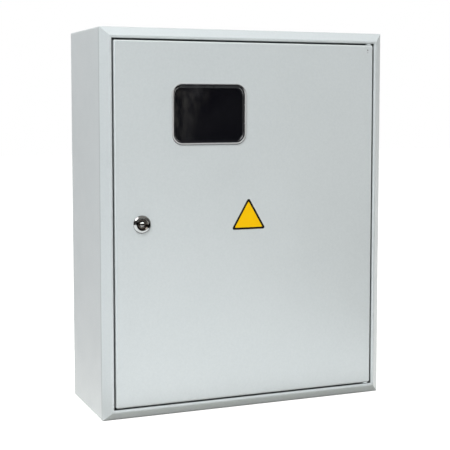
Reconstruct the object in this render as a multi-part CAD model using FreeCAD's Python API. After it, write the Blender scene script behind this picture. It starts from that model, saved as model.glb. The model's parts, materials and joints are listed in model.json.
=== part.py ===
import FreeCAD, Part
import math
import os

from FreeCAD import Vector

os.makedirs("parts", exist_ok=True)

# Electric meter box: a wall-hung sheet-steel case with an inset door, in millimetres.
# X runs to the right of a person who faces the door, Y from the door to the wall, Z up.
# The origin is on the wall plane, at the centre of the four wall holes.
# "Depth" below is measured from the front plane of the case towards the wall.

# Case
case_width = 400.0
case_height = 500.0
case_depth = 150.0
sheet = 1.2
bend_inside = 0.6
case_corner_radius = 2.0
bevel_width = 10.8
bevel_depth = 9.0
rim_width = 3.4
gutter_width = 18.8
ledge_clearance = 2.2
lip_setback = 4.5

# Back panel and wall fixing
back_flange = 12.0
back_bend_radius = 1.8
wall_hole_radius = 4.0
wall_hole_inset = 45.0

# Cable knock-outs in the bottom wall
knockout_radius = 14.0
large_knockout_radius = 17.0
knockout_slot = 0.8
knockout_bridge = 5.0
knockout_spacing = 100.0
knockout_depth = 75.0

# Door
door_gap = 2.4
door_flange = 14.0
door_bend_radius = 2.0
seal_width = 12.0
seal_clearance = 0.3
seal_slope = 2.5
seal_corner = 6.0

# Hinge pins at the top and bottom of the door's right edge
hinge_inset = 5.5
hinge_setback = 4.3
pin_radius = 2.0
pin_play = 0.06
pin_reach = 3.4
pin_length = 38.0
pin_groove_depth = 0.4
pin_foot_groove = 4.0
spacer_radius = 4.1
spacer_thickness = 2.0
bracket_sheet = 1.2
bracket_foot_height = 20.0
bracket_drop = 14.0
bracket_foot_depth = 10.0
bracket_leg_depth = 7.0
bracket_leg_reach = 8.4
bracket_setback = 0.7
clip_radius = 3.0
clip_thickness = 0.7
clip_play = 0.4
weld_mark_radius = 1.1
weld_mark_depth = 0.3
weld_mark_below_edge = 10.5

# Window, measured at its see-through field
window_width = 98.5
window_height = 74.0
window_corner = 12.0
window_from_left = 144.1
window_from_top = 109.4
frame_wall = 1.1
frame_overlap = 1.4
frame_proud = 1.0
frame_chamfer = 0.5
frame_length = 8.0
frame_play = 0.2
pane_play = 0.15
pane_thickness = 4.6
pane_dish_depth = 2.4
pane_border = 3.4
pane_edge = 0.5
pane_ledge = 1.5
pane_ledge_thickness = 1.2
finger_width_top = 11.0
finger_width_side = 23.0
finger_slit = 1.2
hook_height = 1.1
hook_length = 3.0
hook_edge = 0.5

# Cam lock
lock_from_left = 52.0
lock_above_middle = 1.4
lock_flange_radius = 11.5
lock_flange_proud = 3.0
lock_ring_radius = 7.8
lock_mouth_edge = 0.4
lock_mouth_drop = 0.1
lock_bore_edge = 0.5
lock_rim_height = 0.4
lock_crest_out = 0.6
lock_crest_drop = 0.45
lock_barrel_radius = 9.25
lock_barrel_chamfer = 0.6
lock_flats = 16.4
lock_hole_play = 0.1
plug_face_radius = 5.1
plug_radius = 6.0
plug_play = 0.06
plug_face_setback = 0.7
plug_face_chamfer = 0.3
plug_tail_root = 1.0
plug_shoulder = 1.2
key_slot_length = 6.6
key_slot_width = 1.5
key_slot_depth = 7.0
key_mouth_length = 7.6
key_mouth_width = 3.6
key_slot_flat = 0.05
lock_nut_flats = 23.0
lock_nut_thickness = 5.0
lock_washer_radius = 12.0
lock_washer_thickness = 0.8
lock_washer_notches = 8
lock_washer_notch_depth = 1.2
lock_washer_notch_width = 1.4
cam_thickness = 2.5
cam_length = 38.0
cam_hub_radius = 9.5
cam_width = 14.0
cam_clearance = 0.4
cam_square = 7.0
cam_square_play = 0.05
cam_washer_radius = 6.5
cam_washer_thickness = 1.0
cam_screw_radius = 2.0
cam_screw_head_radius = 4.2
cam_screw_head = 2.8
cam_screw_length = 9.0

# Triangular sticker on the door
sticker_side = 50.0
sticker_corner = 3.0
sticker_thickness = 0.2
sticker_from_left = 199.0
sticker_base_from_top = 261.2

# Mounting plate for the meter, on four welded studs
plate_margin = 45.0
plate_sheet = 1.5
plate_corner_cut = 40.0
plate_edge = 10.0
pillar_inset_x = 15.0
pillar_inset_z = 55.0
pillar_length = 18.0
pillar_radius = 6.0
stud_radius = 3.0
stud_end = 3.0
stud_play = 0.2
nut_flats = 10.0
nut_thickness = 5.0
washer_radius = 6.0
washer_thickness = 1.2
meter_slot_width = 5.5
meter_slot_length = 75.0
meter_top_slot_from_top = 60.0
meter_low_slot_from_top = 190.0
meter_low_slot_spacing = 110.0

# Mounting rail for breakers
rail_end_margin = 10.0
rail_from_bottom = 95.0
rail_width = 35.0
rail_channel = 27.0
rail_depth = 7.5
rail_sheet = 1.0
rail_screw_inset = 45.0

# Small slotted screws
screw_radius = 2.5
screw_head_radius = 4.6
screw_head = 2.8
screw_slot_width = 1.0
screw_slot_depth = 1.2
screw_end = 3.0

# Terminal bar for the neutral conductors, upright beside the meter
bar_holes = 6
bar_pitch = 9.0
bar_thickness = 6.5
bar_width = 9.0
bar_end = 12.0
bar_wire_radius = 2.6
bar_screw_radius = 2.4
bar_screw_proud = 1.6
bar_head_inset = 0.3
foot_height = 16.0
foot_width = 14.0
foot_length = 12.0
foot_waist = 3.0
bar_from_right = 55.0
bar_from_top = 115.0

# Earth studs on the case wall and on the door
earth_stud_length = 17.0
case_earth_depth = 75.0
case_earth_from_bottom = 60.0
door_earth_inset = 33.4

# Planes and places that several pieces share
half_width = case_width / 2
half_height = case_height / 2
front_y = -case_depth
door_inset = bevel_width + rim_width
ledge_depth = door_flange + ledge_clearance
lip_depth = door_flange - lip_setback
ledge_inset = door_inset + gutter_width
door_width = case_width - 2 * (door_inset + door_gap)
door_height = case_height - 2 * (door_inset + door_gap)
seal_inset = ledge_inset + sheet / 2 - seal_width / 2
seal_depth = lip_depth - seal_clearance
window_x = window_from_left - half_width
window_z = half_height - window_from_top
hinge_x = door_width / 2 - hinge_inset
hinge_y = front_y + hinge_setback
lock_x = lock_from_left - half_width
lock_z = lock_above_middle
sticker_x = sticker_from_left - half_width
plug_end_depth = ledge_depth + sheet + cam_clearance
plate_front_y = -sheet - pillar_length - plate_sheet
plate_width = case_width - 2 * plate_margin
plate_height = case_height - 2 * plate_margin
rail_front_y = plate_front_y - rail_sheet
rail_length = plate_width - 2 * rail_end_margin
rail_z = rail_from_bottom - plate_height / 2
bar_x = plate_width / 2 - bar_from_right
bar_z = plate_height / 2 - bar_from_top
case_earth_z = case_earth_from_bottom - half_height
door_earth_x = door_width / 2 - door_earth_inset
door_earth_z = door_earth_inset - door_height / 2


def save(shape, name):
    shape.exportStep("parts/" + name + ".step")


def box(x0, x1, y0, y1, z0, z1):
    return Part.makeBox(x1 - x0, y1 - y0, z1 - z0, Vector(x0, y0, z0))


def group(solids):
    return Part.makeCompound(solids)


# Folded sheet metal


def rounded_run(points, radii):
    """Edges along a run of 2D points, with an arc of the given radius at each inner point."""
    edges = []
    start = points[0]
    for i in range(1, len(points) - 1):
        corner = points[i]
        before = (corner - points[i - 1]).normalize()
        after = (points[i + 1] - corner).normalize()
        turn = before.getAngle(after)
        reach = radii[i - 1] * math.tan(turn / 2)
        arc_start = corner - before * reach
        arc_end = corner + after * reach
        inward = (after - before).normalize()
        centre = corner + inward * (radii[i - 1] / math.cos(turn / 2))
        arc_middle = centre - inward * radii[i - 1]
        edges.append(Part.makeLine(start, arc_start))
        edges.append(Part.Arc(arc_start, arc_middle, arc_end).toShape())
        start = arc_end
    edges.append(Part.makeLine(start, points[-1]))
    return edges


def folded_section(points, thickness, inside_radius):
    """Section of a bent sheet: the run's sheet lies to its left, and every bend is round."""
    run = [Vector(u, v, 0) for u, v in points]
    steps = [(run[i + 1] - run[i]).normalize() for i in range(len(run) - 1)]
    normals = [Vector(-step.y, step.x, 0) for step in steps]
    far = [run[0] + normals[0] * thickness]
    near_radii = []
    far_radii = []
    for i in range(1, len(run) - 1):
        blend = normals[i - 1] + normals[i]
        far.append(run[i] + blend * (thickness / (1 + normals[i - 1].dot(normals[i]))))
        turns_left = steps[i - 1].cross(steps[i]).z > 0
        near_radii.append(inside_radius + thickness if turns_left else inside_radius)
        far_radii.append(inside_radius if turns_left else inside_radius + thickness)
    far.append(run[-1] + normals[-1] * thickness)
    edges = rounded_run(run, near_radii)
    edges += rounded_run(far, far_radii)
    edges.append(Part.makeLine(run[0], far[0]))
    edges.append(Part.makeLine(run[-1], far[-1]))
    return Part.Face(Part.Wire(Part.__sortEdges__(edges)))


def mitred_frame(section, reach):
    """Four lengths of one section round the case, mitred and welded at the corners."""
    sides = []
    for turn in (0, 90, 180, 270):
        span, rise = (half_width, half_height) if turn % 180 == 0 else (half_height, half_width)
        side = section.translated(Vector(-span, front_y, -rise)).extrude(Vector(0, 0, 2 * rise))
        outline = [
            Vector(-span, front_y, -rise),
            Vector(-span, front_y, rise),
            Vector(-span + reach, front_y, rise - reach),
            Vector(-span + reach, front_y, reach - rise),
        ]
        mitre = Part.Face(Part.makePolygon(outline + outline[:1])).extrude(Vector(0, case_depth, 0))
        side = side.common(mitre)
        side.rotate(Vector(0, 0, 0), Vector(0, 1, 0), turn)
        sides.append(side)
    return sides[0].fuse(sides[1:]).removeSplitter()


def tray(width, height, depth, face_y, towards, radius, round_corners):
    """A sheet with its four edges folded the same way, its face on face_y."""

    def block(inset, bend_radius, with_corners):
        near = face_y + towards * inset
        far = face_y + towards * (depth + inset)
        low_y, high_y = min(near, far), max(near, far)
        half_x, half_z = width / 2 - inset, height / 2 - inset
        solid = box(-half_x, half_x, low_y, high_y, -half_z, half_z)
        bends = [e for e in solid.Edges if abs(e.CenterOfMass.y - near) < 0.01]
        if with_corners:
            bends += [e for e in solid.Edges if e.BoundBox.YLength > depth / 2]
        return solid.makeFillet(bend_radius, bends)

    return block(0.0, radius, round_corners).cut(block(sheet, radius - sheet, False))


def rounded_wire(width, height, radius, y, centre_x, centre_z):
    edges = []
    ends = []
    for quarter in range(4):
        angle = math.radians(90 * quarter)
        side_x = 1 if quarter in (0, 3) else -1
        side_z = 1 if quarter in (0, 1) else -1
        x = centre_x + side_x * (width / 2 - radius)
        z = centre_z + side_z * (height / 2 - radius)
        on_arc = []
        for share in (0, 0.5, 1):
            a = angle + share * math.pi / 2
            on_arc.append(Vector(x + radius * math.cos(a), y, z + radius * math.sin(a)))
        edges.append(Part.Arc(*on_arc).toShape())
        ends.append((on_arc[0], on_arc[2]))
    for quarter in range(4):
        edges.append(Part.makeLine(ends[quarter][1], ends[(quarter + 1) % 4][0]))
    return Part.Wire(Part.__sortEdges__(edges))


def rounded_plate(width, height, radius, y, thickness, centre_x=0.0, centre_z=0.0):
    outline = rounded_wire(width, height, radius, y, centre_x, centre_z)
    return Part.Face(outline).extrude(Vector(0, thickness, 0))


# Case


def knockout_ring(radius, x, z_wall):
    """A round slot in a wall, broken by two bridges that hold the blank."""
    centre = Vector(x, front_y + knockout_depth, z_wall - sheet)
    ring = Part.makeCylinder(radius, 2 * sheet, centre)
    ring = ring.cut(Part.makeCylinder(radius - knockout_slot, 2 * sheet, centre))
    bridge = box(
        x - 2 * radius,
        x + 2 * radius,
        centre.y - knockout_bridge / 2,
        centre.y + knockout_bridge / 2,
        z_wall - 2 * sheet,
        z_wall + 2 * sheet,
    )
    return ring.cut(bridge)


def make_case_shell():
    section = folded_section(
        [
            (0, case_depth),
            (0, bevel_depth),
            (bevel_width, 0),
            (door_inset, 0),
            (door_inset, ledge_depth),
            (ledge_inset, ledge_depth),
            (ledge_inset, lip_depth),
        ],
        sheet,
        bend_inside,
    )
    shell = mitred_frame(section, ledge_inset + 2 * sheet)
    shell = shell.common(rounded_plate(case_width, case_height, case_corner_radius, front_y, case_depth))
    pin_hole = Part.makeCylinder(
        pin_radius + pin_play,
        case_height - 2 * door_inset + 4 * sheet,
        Vector(hinge_x, hinge_y, door_inset - half_height - 2 * sheet),
    )
    cuts = [pin_hole]
    for x in (-knockout_spacing, knockout_spacing):
        cuts.append(knockout_ring(knockout_radius, x, -half_height + sheet))
    cuts.append(knockout_ring(large_knockout_radius, 0.0, -half_height + sheet))
    return shell.cut(cuts)


def make_back_panel():
    width = case_width - 2 * sheet
    height = case_height - 2 * sheet
    panel = tray(width, height, back_flange, 0.0, -1, back_bend_radius, False)
    holes = []
    half_x = half_width - wall_hole_inset
    half_z = half_height - wall_hole_inset
    for x in (-half_x, half_x):
        for z in (-half_z, half_z):
            base = Vector(x, -2 * sheet, z)
            holes.append(Part.makeCylinder(wall_hole_radius, 3 * sheet, base, Vector(0, 1, 0)))
    return panel.cut(holes)


# Fasteners


def placed(shape, at, direction):
    """Turns a shape built up from the origin along +Z so that it stands on a point along a direction."""
    turned = shape.copy()
    stand = FreeCAD.Placement(at, FreeCAD.Rotation(Vector(0, 0, 1), direction))
    turned.Placement = stand.multiply(shape.Placement)
    return turned


def hex_nut(flats, thickness, bore):
    corner = flats / math.sqrt(3)
    points = []
    for i in range(7):
        angle = math.radians(60 * i + 30)
        points.append(Vector(corner * math.cos(angle), corner * math.sin(angle), 0))
    nut = Part.Face(Part.makePolygon(points)).extrude(Vector(0, 0, thickness))
    return nut.cut(Part.makeCylinder(bore, thickness))


def washer(outer, inner, thickness):
    return Part.makeCylinder(outer, thickness).cut(Part.makeCylinder(inner, thickness))


def headed_screw(shank, length, head_radius, head_height):
    """A slotted screw: the underside of the head is the origin plane, the shank goes down."""
    head = Part.makeCylinder(head_radius, head_height)
    screw = head.fuse(Part.makeCylinder(shank, length, Vector(0, 0, -length))).removeSplitter()
    slot = box(
        -head_radius,
        head_radius,
        -screw_slot_width / 2,
        screw_slot_width / 2,
        head_height - screw_slot_depth,
        head_height,
    )
    return screw.cut(slot)


# Mounting plate and its fixing


def obround(centre, length, width, thickness, along):
    """A slot cutter through the plate, long along X or Z, its axis along Y."""
    radius = width / 2
    run = along * ((length - width) / 2)
    base = centre - Vector(0, thickness, 0)
    ends = [
        Part.makeCylinder(radius, 2 * thickness, base + run * side, Vector(0, 1, 0))
        for side in (-1, 1)
    ]
    half = Vector(abs(run.x) + radius * along.z, thickness, abs(run.z) + radius * along.x)
    low = centre - half
    middle = Part.makeBox(2 * half.x, 2 * half.y, 2 * half.z, low)
    return middle.fuse(ends)


def pillar_places():
    half_x = plate_width / 2 - pillar_inset_x
    half_z = plate_height / 2 - pillar_inset_z
    return [Vector(x, -sheet, z) for x in (-half_x, half_x) for z in (-half_z, half_z)]


def rail_screw_places():
    reach = rail_length / 2 - rail_screw_inset
    return [Vector(x, plate_front_y, rail_z) for x in (-reach, reach)]


def bar_foot_places():
    reach = bar_length() / 2 - foot_length / 2
    return [Vector(bar_x, plate_front_y, bar_z + side * reach) for side in (-1, 1)]


def bore_through(place, radius, thickness):
    """A cutter for a round hole through a sheet whose front is at the place."""
    return Part.makeCylinder(radius, 3 * thickness, place - Vector(0, thickness, 0), Vector(0, 1, 0))


def make_mounting_plate():
    """A plate with its two long edges folded back and its corners cut away from the wall holes."""
    half_x = plate_width / 2
    half_z = plate_height / 2
    section = folded_section(
        [
            (half_x, plate_front_y + plate_edge),
            (half_x, plate_front_y),
            (-half_x, plate_front_y),
            (-half_x, plate_front_y + plate_edge),
        ][::-1],
        plate_sheet,
        bend_inside,
    )
    plate = section.translated(Vector(0, 0, -half_z)).extrude(Vector(0, 0, plate_height))
    cut = plate_corner_cut
    outline = [
        Vector(-half_x + cut, plate_front_y, -half_z),
        Vector(half_x - cut, plate_front_y, -half_z),
        Vector(half_x, plate_front_y, -half_z + cut),
        Vector(half_x, plate_front_y, half_z - cut),
        Vector(half_x - cut, plate_front_y, half_z),
        Vector(-half_x + cut, plate_front_y, half_z),
        Vector(-half_x, plate_front_y, half_z - cut),
        Vector(-half_x, plate_front_y, -half_z + cut),
    ]
    blank = Part.Face(Part.makePolygon(outline + outline[:1]))
    plate = plate.common(blank.extrude(Vector(0, plate_edge, 0)))
    cuts = []
    for place in pillar_places():
        front = Vector(place.x, plate_front_y, place.z)
        cuts.append(bore_through(front, stud_radius + stud_play, plate_sheet))
    for place in rail_screw_places() + bar_foot_places():
        cuts.append(bore_through(place, screw_radius, plate_sheet))
    low_slot_z = half_z - meter_low_slot_from_top
    slots = [(window_x, half_z - meter_top_slot_from_top)]
    slots.append((window_x - meter_low_slot_spacing / 2, low_slot_z))
    slots.append((window_x + meter_low_slot_spacing / 2, low_slot_z))
    for x, z in slots:
        centre = Vector(x, plate_front_y + plate_sheet / 2, z)
        cuts.append(obround(centre, meter_slot_length, meter_slot_width, plate_sheet, Vector(0, 0, 1)))
    return plate.cut(cuts)


def make_plate_fixing():
    """Four pillars welded to the back panel, each turned down to a stud that holds the plate by a nut."""
    forward = Vector(0, -1, 0)
    pillars = []
    nuts = []
    stud_length = pillar_length + plate_sheet + nut_thickness + stud_end
    for place in pillar_places():
        pillar = Part.makeCylinder(pillar_radius, pillar_length)
        pillar = pillar.fuse(Part.makeCylinder(stud_radius, stud_length)).removeSplitter()
        pillars.append(placed(pillar, place, forward))
        front = Vector(place.x, plate_front_y, place.z)
        nuts.append(placed(hex_nut(nut_flats, nut_thickness, stud_radius), front, forward))
    save(group(pillars), "plate_pillars")
    save(group(nuts), "plate_nuts")


def make_rail():
    """The top-hat rail, its base on the mounting plate."""
    half = rail_width / 2
    channel = rail_channel / 2
    rise = rail_depth - rail_sheet
    section = folded_section(
        [(-half, rise), (-channel, rise), (-channel, 0), (channel, 0), (channel, rise), (half, rise)],
        rail_sheet,
        bend_inside,
    )
    rail = section.extrude(Vector(0, 0, rail_length))
    lengthwise = Vector(-rail_length / 2, plate_front_y, rail_z)
    turn = FreeCAD.Rotation(Vector(0, 0, 1), Vector(0, -1, 0), Vector(1, 0, 0), "ZYX")
    rail.Placement = FreeCAD.Placement(lengthwise, turn)
    holes = [
        bore_through(Vector(place.x, rail_front_y, place.z), screw_radius, rail_sheet)
        for place in rail_screw_places()
    ]
    return rail.cut(holes)


def make_rail_screws():
    """Two thread-cutting screws that hold the rail to the plate."""
    screws = []
    length = rail_sheet + plate_sheet + screw_end
    for place in rail_screw_places():
        screw = headed_screw(screw_radius, length, screw_head_radius, screw_head)
        screws.append(placed(screw, Vector(place.x, rail_front_y, place.z), Vector(0, -1, 0)))
    save(group(screws), "rail_screws")


# Terminal bar


def bar_length():
    return (bar_holes - 1) * bar_pitch + 2 * bar_end


def stand_upright(shape):
    """Sets a shape built along X, its front towards +Z, upright on the mounting plate."""
    to_front = FreeCAD.Rotation(Vector(1, 0, 0), 90)
    upright = FreeCAD.Rotation(Vector(0, 1, 0), -90).multiply(to_front)
    stood = shape.copy()
    at = FreeCAD.Placement(Vector(bar_x, plate_front_y, bar_z), upright)
    stood.Placement = at.multiply(shape.Placement)
    return stood


def make_clamp_screw(along, top):
    clamp = Part.makeCylinder(bar_screw_radius, bar_screw_proud, Vector(along, 0, top))
    driver = box(
        along - bar_screw_radius,
        along + bar_screw_radius,
        -screw_slot_width / 2,
        screw_slot_width / 2,
        top + bar_screw_proud - screw_slot_depth,
        top + bar_screw_proud,
    )
    return clamp.cut(driver)


def make_bar_foot(along):
    """An insulating foot with a groove along both sides."""
    half_l = foot_length / 2
    half_w = foot_width / 2
    foot = box(along - half_l, along + half_l, -half_w, half_w, 0, foot_height)
    groove = box(
        along - half_l,
        along + half_l,
        half_w - foot_waist / 2,
        half_w + foot_waist,
        foot_waist,
        foot_height - foot_waist,
    )
    bore = Part.makeCylinder(screw_radius, foot_height, Vector(along, 0, 0))
    return foot.cut([groove, groove.mirror(Vector(0, 0, 0), Vector(0, 1, 0)), bore])


def make_terminal_bar():
    length = bar_length()
    reach = length / 2 - foot_length / 2
    top = foot_height + bar_thickness
    bar = box(-length / 2, length / 2, -bar_width / 2, bar_width / 2, foot_height, top)
    cuts = []
    screws = []
    feet = []
    for i in range(bar_holes):
        along = (i - (bar_holes - 1) / 2) * bar_pitch
        wire_base = Vector(along, -bar_width, foot_height + bar_thickness / 2)
        cuts.append(Part.makeCylinder(bar_wire_radius, 2 * bar_width, wire_base, Vector(0, 1, 0)))
        screws.append(make_clamp_screw(along, top))
    for along in (-reach, reach):
        cuts.append(Part.makeCylinder(screw_radius, 2 * top, Vector(along, 0, 0)))
        feet.append(make_bar_foot(along))
        head_radius = bar_width / 2 - bar_head_inset
        screw = headed_screw(screw_radius, top + plate_sheet + screw_end, head_radius, screw_head)
        screws.append(screw.translated(Vector(along, 0, top)))
    save(stand_upright(bar.cut(cuts)), "neutral_bar")
    save(group([stand_upright(foot) for foot in feet]), "neutral_bar_feet")
    save(group([stand_upright(screw) for screw in screws]), "neutral_bar_screws")


# Earth studs


def make_earth_stud(name, place, direction):
    stud = Part.makeCylinder(stud_radius, earth_stud_length)
    ring = washer(washer_radius, stud_radius, washer_thickness)
    nut = hex_nut(nut_flats, nut_thickness, stud_radius)
    save(placed(stud, place, direction), name + "_earth_stud")
    save(placed(ring, place, direction), name + "_earth_washer")
    save(placed(nut, place + direction * washer_thickness, direction), name + "_earth_nut")


# Door


def make_door_panel():
    door = tray(door_width, door_height, door_flange, front_y, 1, door_bend_radius, True)
    grow = 2 * (frame_wall + frame_play)
    cutout = rounded_plate(
        window_width + grow,
        window_height + grow,
        window_corner + grow / 2,
        front_y - sheet,
        3 * sheet,
        window_x,
        window_z,
    )
    lock_base = Vector(lock_x, front_y - sheet, lock_z)
    lock_hole = Part.makeCylinder(lock_barrel_radius + lock_hole_play, 3 * sheet, lock_base, Vector(0, 1, 0))
    flats = lock_flats / 2 + lock_hole_play
    across = box(
        lock_x - lock_flange_radius,
        lock_x + lock_flange_radius,
        front_y - sheet,
        front_y + 2 * sheet,
        lock_z - flats,
        lock_z + flats,
    )
    pin_base = Vector(hinge_x, hinge_y, -door_height)
    pin_holes = Part.makeCylinder(pin_radius + pin_play, 2 * door_height, pin_base)
    cuts = [cutout, lock_hole.common(across), pin_holes]
    for side in (-1, 1):
        mark_z = side * (door_height / 2 - weld_mark_below_edge)
        mark = Vector(hinge_x, front_y + weld_mark_depth, mark_z)
        cuts.append(Part.makeCylinder(weld_mark_radius, sheet, mark, Vector(0, -1, 0)))
    return door.cut(cuts)


def make_door_seal():
    """Foamed seal inside the door, its sloped crown just clear of the case lip."""
    depth = seal_depth - sheet
    y = front_y + sheet
    width = case_width - 2 * seal_inset
    height = case_height - 2 * seal_inset
    ring = rounded_plate(width, height, seal_corner + seal_width, y, depth)
    hole = rounded_plate(width - 2 * seal_width, height - 2 * seal_width, seal_corner, y, depth)
    ring = ring.cut(hole)
    crown = [e for e in ring.Edges if e.BoundBox.YMin > y + depth - 0.01]
    return ring.makeChamfer(seal_slope, crown)


# Window


def window_shape(grow, y, thickness):
    """A plate with the window's outline, grown on every side."""
    return rounded_plate(
        window_width + 2 * grow,
        window_height + 2 * grow,
        window_corner + grow,
        y,
        thickness,
        window_x,
        window_z,
    )


def finger_places():
    """Centre, direction outwards and width of the four snap fingers round the window."""
    return [
        (window_height / 2, Vector(0, 0, 1), finger_width_top),
        (window_height / 2, Vector(0, 0, -1), finger_width_top),
        (window_width / 2, Vector(1, 0, 0), finger_width_side),
        (window_width / 2, Vector(-1, 0, 0), finger_width_side),
    ]


def finger_slits(out_from, out_to, y0, y1):
    """Pairs of narrow slits beside each snap finger, between two distances from the window's edge."""
    slits = []
    for reach, outward, width in finger_places():
        across = Vector(abs(outward.z), 0, abs(outward.x))
        for side in (-1, 1):
            middle = Vector(window_x, 0, window_z) + across * (side * (width / 2 + finger_slit / 2))
            low = middle + outward * (reach + out_from) - across * (finger_slit / 2)
            high = middle + outward * (reach + out_to) + across * (finger_slit / 2)
            x0, x1 = sorted((low.x, high.x))
            z0, z1 = sorted((low.z, high.z))
            slits.append(box(x0, x1, y0, y1, z0, z1))
    return slits


def make_window_frame():
    """Moulded frame: a thin flange on the door, a skirt through it and four snap hooks behind it."""
    flange = window_shape(frame_wall + frame_overlap, front_y - frame_proud, frame_proud)
    rim = [e for e in flange.Edges if e.BoundBox.YMax < front_y - frame_proud + 0.01]
    flange = flange.makeChamfer(frame_chamfer, rim)
    skirt = window_shape(frame_wall, front_y - frame_proud / 2, frame_length)
    frame = flange.fuse(skirt)
    hooks = []
    hook_y = front_y + sheet + frame_play
    for reach, outward, width in finger_places():
        across = Vector(abs(outward.z), 0, abs(outward.x))
        base = Vector(window_x, hook_y, window_z) + outward * (reach + frame_wall) - across * (width / 2)
        wedge = [
            base,
            base + outward * hook_height,
            base + outward * hook_height + Vector(0, hook_edge, 0),
            base + Vector(0, hook_length, 0),
        ]
        hooks.append(Part.Face(Part.makePolygon(wedge + wedge[:1])).extrude(across * width))
    frame = frame.fuse(hooks).removeSplitter()
    bore = window_shape(0.0, front_y - 2 * frame_proud, 2 * frame_proud + pane_thickness)
    rear = window_shape(-pane_ledge, front_y, 2 * frame_length)
    behind = window_shape(0.0, front_y + pane_thickness + pane_ledge_thickness, frame_length)
    slit_root = front_y + 2 * sheet + pane_thickness
    slits = finger_slits(-2 * pane_ledge, 2 * frame_wall, slit_root, slit_root + frame_length)
    return frame.cut([bore, rear, behind] + slits)


def make_window_pane():
    """Smoked pane with a dished front: its border slopes in, and is nicked beside each finger."""
    pane = window_shape(-pane_play, front_y, pane_thickness)
    outer = rounded_wire(
        window_width - 2 * pane_edge,
        window_height - 2 * pane_edge,
        window_corner - pane_edge,
        front_y,
        window_x,
        window_z,
    )
    inner = rounded_wire(
        window_width - 2 * pane_border,
        window_height - 2 * pane_border,
        window_corner - pane_border,
        front_y + pane_dish_depth,
        window_x,
        window_z,
    )
    dish = Part.makeLoft([outer, inner], True, True)
    nicks = finger_slits(-pane_border, pane_border, front_y - sheet, front_y + pane_dish_depth)
    return pane.cut([dish] + nicks)


# Lock


def turned(points, y0, x, z):
    """Revolves a closed run of radius and depth pairs about the lock's axis."""
    ring = [Vector(x + r, y0 + depth, z) for r, depth in points]
    face = Part.Face(Part.makePolygon(ring + ring[:1]))
    return face.revolve(Vector(x, 0, z), Vector(0, 1, 0), 360)


def make_lock_housing():
    """Chromed housing: a domed flange with a dished mouth, and a barrel with two flats."""
    bore = plug_radius + plug_play
    face_bore = plug_face_radius + plug_play
    rear = plug_end_depth - cam_clearance
    proud = lock_flange_proud
    ring = lock_ring_radius
    rim = lock_flange_radius
    barrel = lock_barrel_radius
    at = Vector(lock_x, front_y, lock_z)
    corner_points = [
        (barrel, 0),
        (barrel, rear - lock_barrel_chamfer),
        (barrel - lock_barrel_chamfer, rear),
        (bore, rear),
        (bore, plug_shoulder + plug_play),
        (face_bore, plug_shoulder + plug_play),
        (face_bore, -plug_face_setback / 2),
        (face_bore + lock_bore_edge, -plug_face_setback),
        (ring - lock_mouth_edge, lock_mouth_drop - proud),
    ]
    places = [at + Vector(r, depth, 0) for r, depth in corner_points]
    outer_rim = at + Vector(rim, -lock_rim_height, 0)
    crest = at + Vector((ring + rim) / 2 + lock_crest_out, lock_crest_drop - proud, 0)
    edges = [Part.makeLine(places[i], places[i + 1]) for i in range(len(places) - 1)]
    edges.append(Part.makeLine(places[-1], at + Vector(ring, -proud, 0)))
    edges.append(Part.Arc(at + Vector(ring, -proud, 0), crest, outer_rim).toShape())
    edges.append(Part.makeLine(outer_rim, at + Vector(rim, 0, 0)))
    edges.append(Part.makeLine(at + Vector(rim, 0, 0), places[0]))
    face = Part.Face(Part.Wire(Part.__sortEdges__(edges)))
    body = face.revolve(at, Vector(0, 1, 0), 360)
    flats = []
    for side in (-1, 1):
        near = lock_z + side * lock_flats / 2
        far = lock_z + side * rim
        low_z, high_z = min(near, far), max(near, far)
        flats.append(box(lock_x - rim, lock_x + rim, front_y, front_y + 2 * rear, low_z, high_z))
    return body.cut(flats)


def make_lock_plug():
    """The turning plug: a stepped cylinder with a key slot in front and a square end for the cam."""
    profile = [
        (0, -plug_face_setback),
        (plug_face_radius - plug_face_chamfer, -plug_face_setback),
        (plug_face_radius, plug_face_chamfer - plug_face_setback),
        (plug_face_radius, plug_shoulder + 2 * plug_play),
        (plug_radius, plug_shoulder + 2 * plug_play),
        (plug_radius, plug_end_depth),
        (0, plug_end_depth),
    ]
    plug = turned(profile, front_y, lock_x, lock_z)
    half = cam_square / 2
    tail = box(
        lock_x - half,
        lock_x + half,
        front_y + plug_end_depth - plug_tail_root,
        front_y + plug_end_depth + cam_thickness,
        lock_z - half,
        lock_z + half,
    )
    plug = plug.fuse(tail).removeSplitter()
    face = front_y - plug_face_setback
    slot_end = key_slot_width / 2 - key_slot_flat
    mouth_end = key_mouth_width / 2 - key_slot_flat
    floor = face + key_slot_width / 2
    mouth = Part.makeLoft(
        [
            rounded_wire(key_mouth_length, key_mouth_width, mouth_end, face, lock_x, lock_z),
            rounded_wire(key_slot_length, key_slot_width, slot_end, floor, lock_x, lock_z),
        ],
        True,
        True,
    )
    slot = rounded_plate(
        key_slot_length,
        key_slot_width,
        slot_end,
        face,
        key_slot_depth,
        lock_x,
        lock_z,
    )
    screw_hole = Part.makeCylinder(
        cam_screw_radius,
        cam_screw_length,
        Vector(lock_x, front_y + plug_end_depth + cam_thickness - cam_screw_length, lock_z),
        Vector(0, 1, 0),
    )
    return plug.cut([mouth, slot, screw_hole])


def make_lock_washer():
    """Notched washer between the door and the lock nut."""
    ring = washer(lock_washer_radius, lock_barrel_radius, lock_washer_thickness)
    notches = []
    for i in range(lock_washer_notches):
        notch = box(
            lock_washer_radius - lock_washer_notch_depth,
            lock_washer_radius + lock_washer_notch_depth,
            -lock_washer_notch_width / 2,
            lock_washer_notch_width / 2,
            -lock_washer_thickness,
            2 * lock_washer_thickness,
        )
        notch.rotate(Vector(0, 0, 0), Vector(0, 0, 1), 360 / lock_washer_notches * i)
        notches.append(notch)
    return placed(ring.cut(notches), Vector(lock_x, front_y + sheet, lock_z), Vector(0, 1, 0))


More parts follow.
